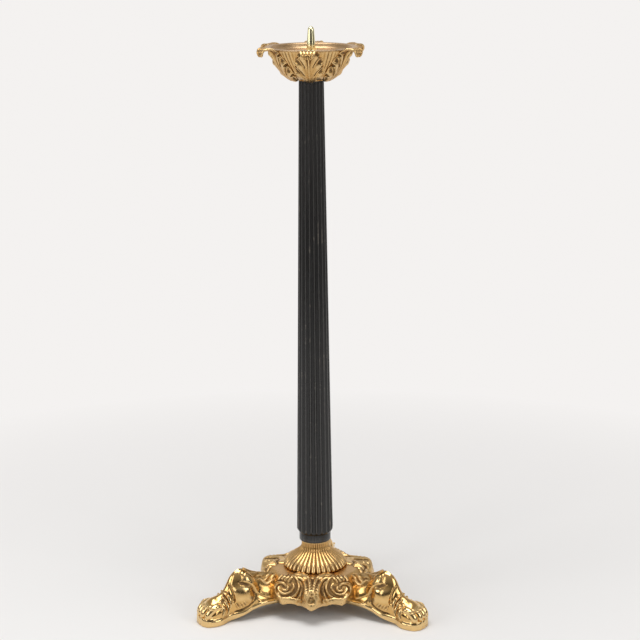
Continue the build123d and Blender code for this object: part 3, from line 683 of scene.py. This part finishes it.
def buildPlate(shape):
    # a third of the casting is drawn over angle and reach and turned into three: a flat top that falls away
    # past a six-sided edge, joined smoothly to a long lobe; then an upright skirt, its lower edge and hollow
    hub, lobe, veins = shape["hub"], shape["lobe"], shape["veins"]
    angle = np.linspace(-60, 60, shape["columns"], endpoint=False)
    turn = np.radians(angle)[None, :]
    line = smoothLine(shape["outline"], shape["outlineSamples"])
    around, reach = np.degrees(np.arctan2(line[:, 0], line[:, 1])), np.hypot(line[:, 0], line[:, 1])
    edge = np.interp(np.abs(angle), around, reach)[None, :]
    share = np.concatenate([np.linspace(0, 0.5, shape["innerRows"], endpoint=False),
                            np.linspace(0.5, 1, shape["outerRows"])])[:, None]
    radius = shape["startRadius"] + (edge - shape["startRadius"]) * share
    side, ahead = radius * np.sin(turn), radius * np.cos(turn)
    legWay = radius * np.cos(np.radians(60) - np.abs(turn))
    past = softMax(ahead - hub["lobeReach"], legWay - hub["legReach"], hub["corner"])
    drop = np.clip(past, 0, None)
    sloping = hub["slope"] * drop * smoothStep(*hub["slopeStart"], past)
    hubHeight = shape["topLevel"] - sloping - hub["bend"] * drop**2
    fall = lobe["fall"] * (np.clip(ahead - lobe["start"], 0, None) / lobe["start"]) ** lobe["fallPower"]
    tipFall = np.clip(ahead - lobe["tip"], 0, None) ** lobe["tipPower"]
    halfWidth = lobe["halfWidth"] + lobe["widening"] * smoothStep(*lobe["wideStart"], ahead)
    sideFall = lobe["sideFall"] * (np.abs(side) / halfWidth) ** lobe["sidePower"]
    lobeHeight = np.maximum(lobe["level"] - fall - tipFall - sideFall, lobe["lowest"])
    height = np.maximum(softMax(hubHeight, lobeHeight, lobe["corner"]), shape["skirtTop"])
    top = np.stack([side, ahead, height], -1)
    down = np.array(shape["skirtRows"])[:, None]
    scallops = np.abs(np.sin(np.pi * angle / shape["scallopWidth"]))
    low = shape["skirtLow"] + shape["scallop"] * scallops[None, :]

    def ring(radius, level):
        return np.stack([radius * np.sin(turn), radius * np.cos(turn), level + 0 * turn], -1)
    swell = edge + shape["skirtSwell"] * np.sin(np.pi * down)
    upright = height[-1:] + (low - height[-1:]) * down
    skirt = np.stack([swell * np.sin(turn), swell * np.cos(turn), upright], -1)
    under = [ring(edge - inward, low + rise) for inward, rise in shape["underEdge"]]
    hollowRadius = shape["hollowRadius"]
    under += [ring(np.maximum(edge - inward, hollowRadius), level) for inward, level in shape["hollow"]]
    under += [ring(flat + 0 * edge, shape["deck"]) for flat in shape["deckRadii"]]
    under += [ring(flat + 0 * edge, shape["topLevel"]) for flat in shape["boreRadii"]]
    points = np.concatenate([top, skirt, *under])
    normal = gridNormals(points)
    normal *= np.sign(normal[shape["innerRows"], shape["columns"] // 2, 2])  # up on the lobe, so outwards
    rows = len(share) + len(down)
    side, ahead, level = (points[:rows, :, axis] for axis in range(3))
    slopeUp, slopeAhead = shape["mapSlopes"]
    mapAhead, mapUp = shape["mapCentre"]
    seen = slopeUp * (mapUp - level) + slopeAhead * (ahead - mapAhead)
    scrolls = bandRelief(-np.abs(side), seen, shape["scrolls"])
    relief = np.maximum(scrolls, bandRelief(side, seen, shape["centre"]))
    beside = np.abs(side)
    vein = veins["height"] * np.cos(2 * np.pi * (ahead - veins["slant"] * beside) / veins["pitch"])
    vein = vein * smoothStep(*veins["start"], ahead) * smoothStep(*veins["end"], ahead)
    relief = relief + vein * smoothStep(*veins["side"], beside)
    rowShare = np.linspace(0, 1, rows)[:, None] * rows / len(share) - shape["reliefShift"]
    fade = smoothStep(*shape["reliefSide"], beside) * smoothStep(*shape["reliefFoot"], rowShare)
    points[:rows] += normal[:rows] * (relief * fade)[..., None]
    # swap so that the lobe, drawn along +Y, points along +X before it is turned into place
    placed = np.stack([points[..., 1], -points[..., 0], points[..., 2]], -1)
    whole = np.concatenate([turned(placed, lobeTurn)[:, ::-1] for lobeTurn in shape["lobeTurns"]], axis=1)
    return skin(whole, closeRows=True)


# stations give reach, height of the ridge, height of the underside and half width; the thigh's and the calf's
# sections give shares of the half width and of the height between flange and ridge
legShape = {
    "stations": [(50.0, 46.4, 15.6, 13.2), (58.0, 47.9, 15.3, 13.4), (66.0, 49.5, 15.3, 13.5),
                 (74.0, 51.1, 15.4, 13.8), (82.0, 53.2, 15.2, 14.4), (89.5, 56.4, 12.6, 15.2),
                 (96.0, 60.2, 9.9, 15.7), (101.5, 61.2, 7.8, 15.6), (106.5, 59.8, 6.0, 14.8),
                 (111.0, 56.8, 4.5, 13.2), (114.7, 52.2, 3.2, 11.8), (118.0, 45.8, 2.1, 10.9),
                 (121.5, 39.4, 1.2, 11.1), (126.0, 34.6, 0.4, 13.0), (132.0, 32.0, 0.0, 15.6),
                 (139.0, 30.2, 0.0, 16.4), (146.0, 25.6, 0.0, 15.4)],
    "stationSamples": 600, "rows": 230, "sectionColumns": 56, "flankPoint": (40, 20),
    "thigh": [(1.24, 0.0), (1.12, 0.13), (0.94, 0.28), (0.76, 0.43), (0.60, 0.60), (0.43, 0.79), (0.22, 0.94),
              (0.0, 1.0)],
    "calf": [(1.0, 0.0), (1.02, 0.22), (0.95, 0.42), (0.79, 0.63), (0.52, 0.83), (0.24, 0.95), (0.0, 1.0)],
    "kneeStart": (80.0, 93.0),
    "flange": 5.8, "flangeGrowth": 2.6, "growthStart": (96.0, 124.0), "flangeWidth": 1.2,
    "flangeUpper": [(0.93, 0.1), (0.985, 0.9), (1.0, 2.2)],
    "flangeLower": [(0.995, 1.4), (0.97, 0.3), (0.90, 0.0)],
    "wall": 3.4, "roof": 4.4, "hollowStart": (50.0, 58.0), "hollowEnd": (121.0, 111.0),
    "hollow": [(1.0, 0.0), (0.98, 0.25), (0.90, 0.5), (0.70, 0.78), (0.38, 0.96)],
    "bulge": {"height": 2.6, "reach": 102.5, "level": 33.5, "length": 10.5, "rise": 9.5, "side": (0.05, 0.6)},
    "bandSide": (0.1, 0.4), "reliefStart": (0.0, 0.05),
    "flankBands": [
        ([(116.6, 46.0), (115.9, 40.0), (114.6, 32.0), (114.0, 24.0)], 2.0, -1.3),
        ([(99.0, 56.0), (91.0, 48.0), (82.0, 40.0), (72.0, 33.5), (60.0, 30.0)], 8.5, 2.0),
        ([(108.0, 47.5), (99.0, 45.5), (92.0, 40.5), (88.4, 33.5), (88.6, 27.0), (93.0, 22.4)], 2.6, -1.2),
        ([(88.7, 24.4), (94.0, 20.0), (100.4, 16.8), (108, 14.6), (115, 13.2)], 1.1, -1.0),
        ([(112.6, 23.0), (109.0, 17.4)], 0.9, 1.1),
        ([(109.4, 23.8), (105.4, 18.0)], 0.9, 1.1),
        ([(106.2, 24.6), (102.0, 19.2)], 0.9, 1.1),
        ([(103.2, 26.0), (98.6, 21.0)], 0.9, 1.1),
        ([(124.5, 36.0), (121.6, 33.4), (120.4, 29.4)], 1.7, 1.9),
        ([(127.4, 31.6), (124.2, 28.4), (122.8, 23.6)], 1.8, 2.1),
        ([(122.2, 24.6), (120.6, 20.4), (121.0, 15.6)], 1.7, 1.9),
        ([(127.8, 24.6), (126.6, 19.6), (127.4, 14.6)], 1.6, 1.6),
        ([(131.0, 28.6), (130.4, 23.0), (132.2, 18.0)], 1.6, 1.5),
    ],
    "tab": [(0.4, 36.0), (8.3, 36.0), (8.5, 36.3), (8.5, 40.8), (0.4, 40.8)],
    "tabColumns": 48, "tabStart": 34.5, "tabLength": 26.0,
}


def buildLegBody(shape):
    # sections across the leg, carried along it and blended from thigh to calf at the knee: ridge, flank and
    # flange on each side, and the hollow below; relief is a round bulge on the calf and bands drawn on the
    # flank's side view
    line = smoothLine(shape["stations"], shape["stationSamples"])
    travel = np.concatenate([[0], np.cumsum(np.hypot(np.diff(line[:, 0]), np.diff(line[:, 1])))])
    even = np.linspace(0, travel[-1], shape["rows"])
    reach, ridge, low, half = (np.interp(even, travel, line[:, k])[:, None] for k in range(4))
    low = np.maximum(low, 0)
    flangeTop = low + shape["flange"] + shape["flangeGrowth"] * smoothStep(*shape["growthStart"], reach)
    count = shape["sectionColumns"]
    thigh, calf = smoothLine(shape["thigh"], count), smoothLine(shape["calf"], count)
    share = smoothStep(*shape["kneeStart"], reach)
    wide = (thigh[:, 0] * (1 - share) + calf[:, 0] * share) * half
    tall = flangeTop + (thigh[:, 1] * (1 - share) + calf[:, 1] * share) * (ridge - flangeTop)
    along = reach + 0 * wide
    points = np.stack([along, wide, tall], -1)
    normal = gridNormals(points)
    normal *= np.sign(normal[(*shape["flankPoint"], 1)])  # away from the leg's middle, so outwards
    bulge = shape["bulge"]
    lengthwise = (along - bulge["reach"]) / bulge["length"]
    upright = (tall - bulge["level"]) / bulge["rise"]
    swelling = np.exp(-lengthwise**4 - upright**4)
    relief = bulge["height"] * swelling * smoothStep(*bulge["side"], wide / half)
    bands = bandRelief(along, tall, shape["flankBands"])
    relief = relief + bands * smoothStep(*shape["bandSide"], wide / half)
    relief *= smoothStep(*shape["reliefStart"], np.linspace(0, 1, count))[None, :]
    points += normal * relief[..., None]

    def edgeLine(width, height):
        return np.concatenate([reach, width, height], 1)[:, None]
    flange = half * (shape["thigh"][0][0] * (1 - share) + share) + shape["flangeWidth"]
    outer = [edgeLine(flange * width, flangeTop - depth) for width, depth in shape["flangeUpper"]]
    outer += [edgeLine(flange * width, low + rise) for width, rise in shape["flangeLower"]]
    hollow = smoothStep(*shape["hollowStart"], reach) * smoothStep(*shape["hollowEnd"], reach)
    crown = low + (ridge - shape["roof"] - low) * hollow
    inside = half - shape["wall"]
    under = [edgeLine(inside * width, low + (crown - low) * rise) for width, rise in shape["hollow"]]
    right = np.concatenate([points[:, ::-1], *outer, *under], axis=1)
    left = right * (1, -1, 1)
    return skin(np.concatenate([right, left[:, ::-1][:, :-1]], axis=1))


# toes, claws and crescents are measured back from the tip, across from the toe's middle line and up from the
# floor; a toe's or claw's middle number is a share of the toe's own place across; tufts lie on both sides of
# the ankle
pawShape = {
    "tip": 155.4, "heel": 124.0, "halfWidth": 17.0, "soleColumns": 180, "tipPower": 0.72, "sidePower": 0.80,
    "sole": [(0.0, 0.1), (0.0, 0.97), (0.7, 1.0), (5.2, 0.995), (9.7, 0.985), (10.4, 0.95), (10.9, 0.86),
             (11.3, 0.1)],
    "toes": 4, "toePitch": 7.7, "toeBow": 0.020, "groove": 0.9, "groovePower": 0.6, "grooveStart": (0.2, 0.6),
    "grooveSpan": 1.6,
    "toe": {"line": [(-25.0, 0.72, 17.0), (-17.5, 0.90, 21.6), (-10.5, 1.0, 19.6), (-5.6, 1.03, 14.8),
                     (-4.4, 1.03, 9.6)],
            "radii": [4.2, 5.0, 4.7, 4.3, 3.9], "columns": 28, "samples": 40},
    "claw": {"line": [(-6.6, 1.03, 14.6), (-2.9, 1.04, 13.2), (-1.7, 1.04, 11.0), (-2.2, 1.04, 9.2)],
             "radii": [2.2, 1.9, 1.4, 0.7], "columns": 20, "samples": 24},
    "crescent": {"line": [(-15.5, -3.4, 24.2), (-10.6, -3.9, 22.4), (-6.6, 0.0, 20.6), (-10.6, 3.9, 22.4),
                          (-15.5, 3.4, 24.2)],
                 "radii": [1.0, 1.6, 1.8, 1.6, 1.0], "columns": 14, "samples": 30},
    "tuft": {"lines": [[(125.0, 7.0, 27.0), (123.0, 11.6, 22.4), (122.6, 14.4, 17.0), (124.6, 15.8, 11.6)],
                       [(130.4, 8.6, 24.6), (129.0, 12.8, 20.0), (129.4, 15.0, 14.6), (131.6, 15.8, 10.6)],
                       [(120.6, 6.0, 33.0), (119.0, 9.8, 28.4), (118.6, 12.4, 23.0), (120.4, 13.6, 17.6)]],
             "radii": [2.4, 2.3, 1.7, 0.7], "columns": 18, "samples": 28},
}


def buildPaw(shape):
    # a sole with an upright wall, its outline a rounded square with shallow grooves between the toes,
    # then for each toe a bent finger, a claw and a raised crescent over the knuckle, and tufts at the ankle
    middle = (shape["tip"] + shape["heel"]) / 2
    pitch = shape["toePitch"]
    angle = np.linspace(0, 2 * np.pi, shape["soleColumns"], endpoint=False)
    cosine, sine = np.cos(angle), np.sin(angle)
    x = middle + (shape["tip"] - middle) * np.sign(cosine) * np.abs(cosine) ** shape["tipPower"]
    y = shape["halfWidth"] * np.sign(sine) * np.abs(sine) ** shape["sidePower"]
    between = 1 - np.abs(np.sin(np.pi * (y / pitch + 0.5))) ** shape["groovePower"]
    grooved = between * smoothStep(*shape["grooveStart"], cosine) * (np.abs(y) < shape["grooveSpan"] * pitch)
    x = x - shape["groove"] * grooved
    level, size = np.array(shape["sole"]).T[..., None]
    parts = [skin(np.stack([middle + (x - middle) * size, y * size, 0 * y + level], -1))]
    toe, claw, crescent, tuft = shape["toe"], shape["claw"], shape["crescent"], shape["tuft"]
    for index in range(shape["toes"]):
        across = (index - (shape["toes"] - 1) / 2) * pitch
        tip = shape["tip"] - shape["toeBow"] * across**2
        parts.append(finger([(tip + back, across * place, up) for back, place, up in toe["line"]], toe))
        parts.append(finger([(tip + back, across * place, up) for back, place, up in claw["line"]], claw))
        arch = [(tip + back, across + aside, up) for back, aside, up in crescent["line"]]
        parts.append(finger(arch, crescent))
    for line in tuft["lines"]:
        for side in (-1, 1):
            parts.append(finger([(reach, side * aside, up) for reach, aside, up in line], tuft))
    return parts


def buildLeg(shape, paw):
    # body, a flat tab with round ends that slips under the centre casting, and the paw
    tab = swung(shape["tab"], shape["tabColumns"])
    tab[..., 0] += shape["tabStart"] + shape["tabLength"] * (tab[..., 0] > 0)
    return joined([buildLegBody(shape), skin(tab), *buildPaw(paw)])


legVertices, legFaces = buildLeg(legShape, pawShape)
for legName, turn in legTurns.items():
    legShell = (turned(legVertices, turn), legFaces)
    makePiece("paw_" + legName, legShell, polishedBrass, [legName], sharp=60)


# the edge gives reach and height of the leaf's lower edge on the flank
tongueShape = {
    "start": 50.0, "tip": 96.6, "rows": 110, "columns": 49, "thickness": 0.9, "bury": 0.8, "leastRise": 1.2,
    "edge": [(50, 40.5), (56, 40.2), (61, 38.8), (66, 36.6), (70, 36.3), (74, 39.4), (77, 43.8), (84, 44.3),
             (89.4, 50.6), (94.3, 57.1), (97, 60.5)],
    "edgeSamples": 300, "sectionSamples": 200, "crestPower": 1.7, "edgeShare": 0.09,
    "rib": 0.7, "ribPitch": 9.5, "ribSlant": 21.0, "ribStart": (0.1, 0.25), "ribEnd": (0.86, 0.7),
    "rim": 0.8, "rimStart": (0.70, 0.84), "midrib": 0.5, "midribWidth": 0.08,
}


def buildTongue(shape, leg):
    # a leaf laid over the leg's ridge: rows follow the reach, columns run from edge to edge over the crest,
    # each point lies on the leg's own section; relief is a raised rim, a midrib and ribs that slant up to the
    # collar
    reach = np.linspace(shape["start"], shape["tip"], shape["rows"])[:, None]
    across = np.linspace(-1, 1, shape["columns"])[None, :]
    beside = np.abs(across)
    edge = smoothLine(shape["edge"], shape["edgeSamples"])
    line = smoothLine(leg["stations"], leg["stationSamples"])
    ridge, foot, half = (np.interp(reach, line[:, 0], line[:, k]) for k in (1, 2, 3))
    foot = np.maximum(foot, 0) + leg["flange"]
    low = np.minimum(np.interp(reach, edge[:, 0], edge[:, 1]), ridge - shape["leastRise"])
    tall = ridge - (ridge - low) * beside ** shape["crestPower"]
    share = (tall - foot) / (ridge - foot)
    blend = smoothStep(*leg["kneeStart"], reach)
    wide = 0
    for table, part in ((leg["thigh"], 1 - blend), (leg["calf"], blend)):
        section = smoothLine(table, shape["sectionSamples"])
        wide = wide + part * half * np.interp(share, np.maximum.accumulate(section[:, 1]), section[:, 0])
    points = np.stack([reach + 0 * tall, np.sign(across) * wide, tall], -1)
    normal = gridNormals(points)
    normal *= np.sign(normal[shape["rows"] // 2, shape["columns"] // 2, 2])  # up on the crest, so outwards
    phase = (reach - shape["ribSlant"] * beside) / shape["ribPitch"]
    rib = shape["rib"] * (0.5 + 0.5 * np.cos(2 * np.pi * phase))
    relief = rib * smoothStep(*shape["ribStart"], beside) * smoothStep(*shape["ribEnd"], beside)
    relief = relief + shape["rim"] * smoothStep(*shape["rimStart"], beside)
    relief = relief + shape["midrib"] * np.exp(-(across / shape["midribWidth"]) ** 2)
    lift = (shape["thickness"] + relief) * smoothStep(0.0, shape["edgeShare"], 1 - beside)
    front = points + normal * lift[..., None]
    back = points - normal * shape["bury"]
    return skin(np.concatenate([front, back[:, ::-1]], axis=1))


legLeaves = copied(buildTongue(tongueShape, legShape), legTurns.values())
castingParts = joined([buildPlate(plateShape), legLeaves])
makePiece("centre_casting", castingParts, chasedBrass, ["tripod_plate"], passes=8)

for nodeName in ("leg_screws", "tie_rod", "rod_washer", "rod_nut"):
    node = bpy.data.objects.get(nodeName)
    if node is not None:
        if not node.material_slots:
            node.data.materials.append(zincSteel)
        for place in node.material_slots:
            place.material = zincSteel
print("fasteners finished")


# metres from here on
stageLook = {"pale": (0.905, 0.885, 0.872), "floor": (0.80, 0.79, 0.78), "radius": 1.7, "sides": 96,
             "litTo": (0.22, 0.95)}


def buildFloor(look):
    # a plain disc; near the object it is lit, so it keeps the shadow, and further out its own pale colour
    # takes over
    material, tree, shader = newFinish("pale floor")
    tree.nodes.remove(shader)
    distance = addNode(tree, "ShaderNodeVectorMath", operation="LENGTH")
    tree.links.new(addNode(tree, "ShaderNodeTexCoord").outputs["Object"], distance.inputs[0])
    far = addRange(tree, distance.outputs["Value"], *look["litTo"])
    rays = addNode(tree, "ShaderNodeLightPath").outputs
    seen = addMath(tree, "MAXIMUM", rays["Is Camera Ray"], rays["Is Glossy Ray"])
    seen = addMath(tree, "MAXIMUM", seen, rays["Is Transmission Ray"])
    lit = addNode(tree, "ShaderNodeBsdfDiffuse", {"Color": (*look["floor"], 1)})
    glow = addNode(tree, "ShaderNodeEmission", {"Color": (*look["pale"], 1), "Strength": 1.0})
    mix = addNode(tree, "ShaderNodeMixShader")
    tree.links.new(addMath(tree, "MULTIPLY", seen, far), mix.inputs[0])
    tree.links.new(lit.outputs[0], mix.inputs[1])
    tree.links.new(glow.outputs[0], mix.inputs[2])
    tree.links.new(mix.outputs[0], tree.nodes["Material Output"].inputs["Surface"])
    sides = look["sides"]
    angle = np.linspace(0, 2 * np.pi, sides, endpoint=False)
    ring = np.column_stack([np.cos(angle), np.sin(angle), 0 * angle]) * look["radius"]
    mesh = bpy.data.meshes.new("floor")
    mesh.from_pydata([(0, 0, 0)] + ring.tolist(), [], [(0, k + 1, (k + 1) % sides + 1) for k in range(sides)])
    mesh.materials.append(material)
    floor = bpy.data.objects.new("floor", mesh)
    bpy.context.scene.collection.objects.link(floor)
    print("floor laid")


buildFloor(stageLook)

lampLook = {
    "overhead": {"place": (-0.1, -0.25, 2.1), "aim": (0, 0, 0.1), "size": (1.5, 1.1), "power": 27.5},
    "left": {"place": (-1.25, -1.75, 1.15), "aim": (0, 0, 0.4), "size": (0.45, 1.7), "power": 5.0},
    "right": {"place": (1.45, -1.6, 1.15), "aim": (0, 0, 0.4), "size": (0.4, 1.7), "power": 4.0},
    "high left": {"place": (-1.88, -0.96, 1.06), "aim": (0, 0, 0.1), "size": (0.9, 0.8), "power": 8.0},
    "high right": {"place": (1.76, -1.14, 1.20), "aim": (0, 0, 0.1), "size": (0.85, 0.8), "power": 7.5},
}


def aimed(place, aim):
    # a turn that points an object's -Z at a target, with its Y upwards
    back = np.asarray(place, float) - np.asarray(aim, float)
    back /= np.linalg.norm(back)
    side = np.cross((0, 0, 1), back)
    side /= np.linalg.norm(side)
    up = np.cross(back, side)
    return Matrix(np.vstack([np.column_stack([side, up, back, place]), (0, 0, 0, 1)]).tolist())


for lampName, look in lampLook.items():
    lamp = bpy.data.lights.new(lampName, "AREA")
    lamp.shape = "RECTANGLE"
    lamp.size, lamp.size_y = look["size"]
    lamp.energy = look["power"]
    lampObject = bpy.data.objects.new(lampName, lamp)
    lampObject.matrix_world = aimed(look["place"], look["aim"])
    bpy.context.scene.collection.objects.link(lampObject)
    print("lamp", lampName)


worldLook = {"front": (0.075, 0.07, 0.066), "above": (0.40, 0.395, 0.39), "fill": (0.36, 0.355, 0.35),
             "paleBehind": (-0.15, 0.75), "dimAbove": (0.25, 0.85)}


def buildWorld(pale, look):
    # the camera sees a pale backdrop all round; metal and glass see it too, dimmer in front and above, which
    # keeps the brass in contrast; plain grey lights the rest
    world = bpy.data.worlds.new("room")
    bpy.context.scene.world = world
    world.use_nodes = True
    tree = world.node_tree
    way = addNode(tree, "ShaderNodeSeparateXYZ")
    tree.links.new(addNode(tree, "ShaderNodeTexCoord").outputs["Generated"], way.inputs[0])
    behind = addRange(tree, way.outputs["Y"], *look["paleBehind"])
    above = addRange(tree, way.outputs["Z"], *look["dimAbove"])
    shown = addMix(tree, above, addMix(tree, behind, look["front"], pale), look["above"])
    rays = addNode(tree, "ShaderNodeLightPath").outputs
    mirrored = addMath(tree, "MAXIMUM", rays["Is Glossy Ray"], rays["Is Transmission Ray"])
    shown = addMix(tree, mirrored, look["fill"], shown)
    shown = addMix(tree, rays["Is Camera Ray"], shown, pale)
    tree.links.new(shown, tree.nodes["Background"].inputs["Color"])
    tree.nodes["Background"].inputs["Strength"].default_value = 1.0
    print("world set")


buildWorld(stageLook["pale"], worldLook)

# yaw and pitch are degrees; pan and roll are small turns in radians
cameraLook = {"place": (0.1390, -2.1496, 0.8825), "yaw": 3.70, "pan": 0.0037, "pitch": 13.75, "roll": -0.0073,
              "focalPixels": 1875.9, "framePixels": 640, "sensor": 36.0, "clipEnd": 50.0}


def buildCamera(look):
    # a pinhole camera looking along +Y, panned, pitched down, turned by its yaw and rolled; its focal length
    # in pixels over the frame's width gives the lens
    pitch, pan = math.radians(look["pitch"]), look["pan"]
    forward = np.array([math.sin(pan) * math.cos(pitch), math.cos(pan) * math.cos(pitch), -math.sin(pitch)])
    side = np.array([math.cos(pan), -math.sin(pan), 0.0])
    forward, side = turned(forward, look["yaw"]), turned(side, look["yaw"])
    up = np.cross(side, forward)
    cosine, sine = math.cos(look["roll"]), math.sin(look["roll"])
    right, top = side * cosine + up * sine, up * cosine - side * sine
    camera = bpy.data.cameras.new("camera")
    camera.sensor_width = look["sensor"]
    camera.lens = look["sensor"] * look["focalPixels"] / look["framePixels"]
    camera.clip_end = look["clipEnd"]
    holder = bpy.data.objects.new("camera", camera)
    stand = np.vstack([np.column_stack([right, top, -forward, look["place"]]), (0, 0, 0, 1)])
    holder.matrix_world = Matrix(stand.tolist())
    bpy.context.scene.collection.objects.link(holder)
    bpy.context.scene.camera = holder
    print("camera set")


buildCamera(cameraLook)
bpy.context.scene.view_settings.view_transform = "Standard"
